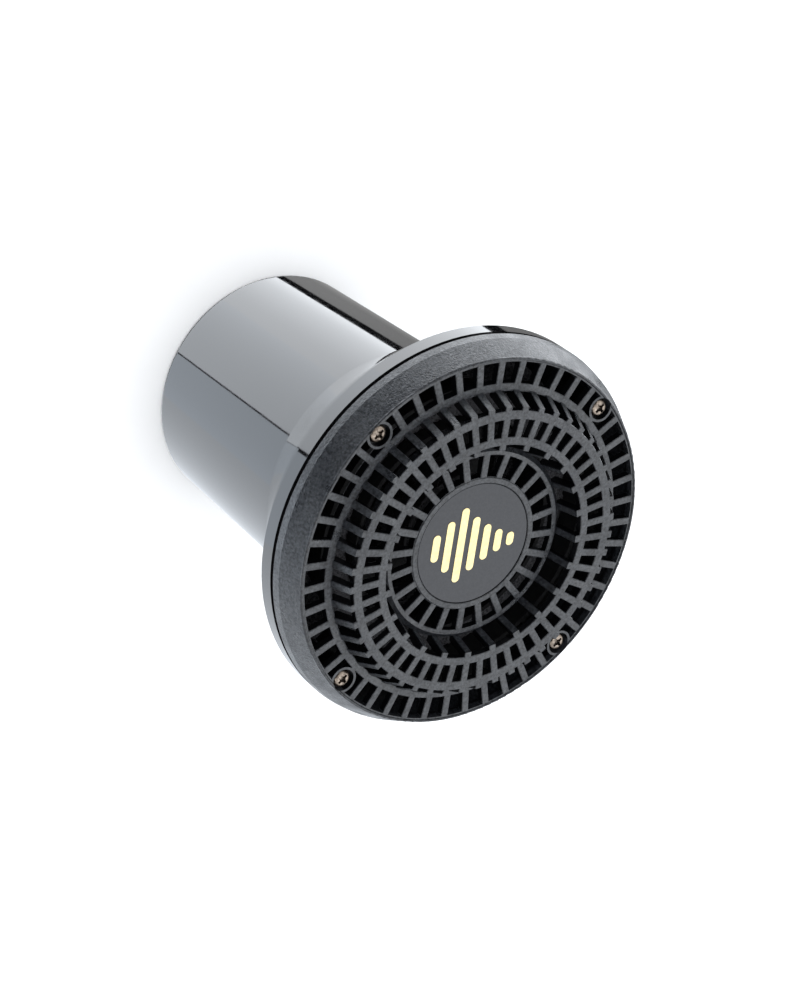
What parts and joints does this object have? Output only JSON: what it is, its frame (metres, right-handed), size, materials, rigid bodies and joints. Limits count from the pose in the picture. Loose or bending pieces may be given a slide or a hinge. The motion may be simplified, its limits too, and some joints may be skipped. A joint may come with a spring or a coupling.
{
  "type": "hair dryer silencer",
  "caption": "Push-on intake silencer for a hair dryer: tapered tube and conical collar behind a stepped round intake grille, with foam-lined inner baffles.",
  "frame": {"origin": "centre of the tube's mouth plane, where the dryer enters", "axes": "+Z along the air axis from the mouth to the grille; +X along the emblem's row of bars"},
  "size_m": [0.13, 0.13, 0.1325],
  "materials": {
    "gloss_black_shell": "gloss",
    "satin_black_grille": "satin",
    "gloss_black_inner": "gloss",
    "moulded_black_plastic": "satin",
    "soft_black_rubber": "matte",
    "charcoal_foam": "matte",
    "badge_graphite": "satin",
    "badge_gold": "satin",
    "adhesive_sheet": "matte",
    "bronzed_steel": "satin"
  },
  "bodies": {
    "root": {"rear_housing": "gloss_black_shell", "coupling_ring": "soft_black_rubber", "inner_duct": "moulded_black_plastic", "liner_foam": "charcoal_foam", "collar_foam": "charcoal_foam", "baffle_carrier": "gloss_black_inner", "baffle_foam": "charcoal_foam", "hub_foam": "charcoal_foam", "seam_gasket": "soft_black_rubber", "front_grille": "satin_black_grille", "badge_adhesive": "adhesive_sheet", "badge_disc": "badge_graphite", "badge_emblem": "badge_gold", "grille_screw_1": "bronzed_steel", "grille_screw_2": "bronzed_steel", "grille_screw_3": "bronzed_steel", "grille_screw_4": "bronzed_steel"}
  },
  "joints": []
}
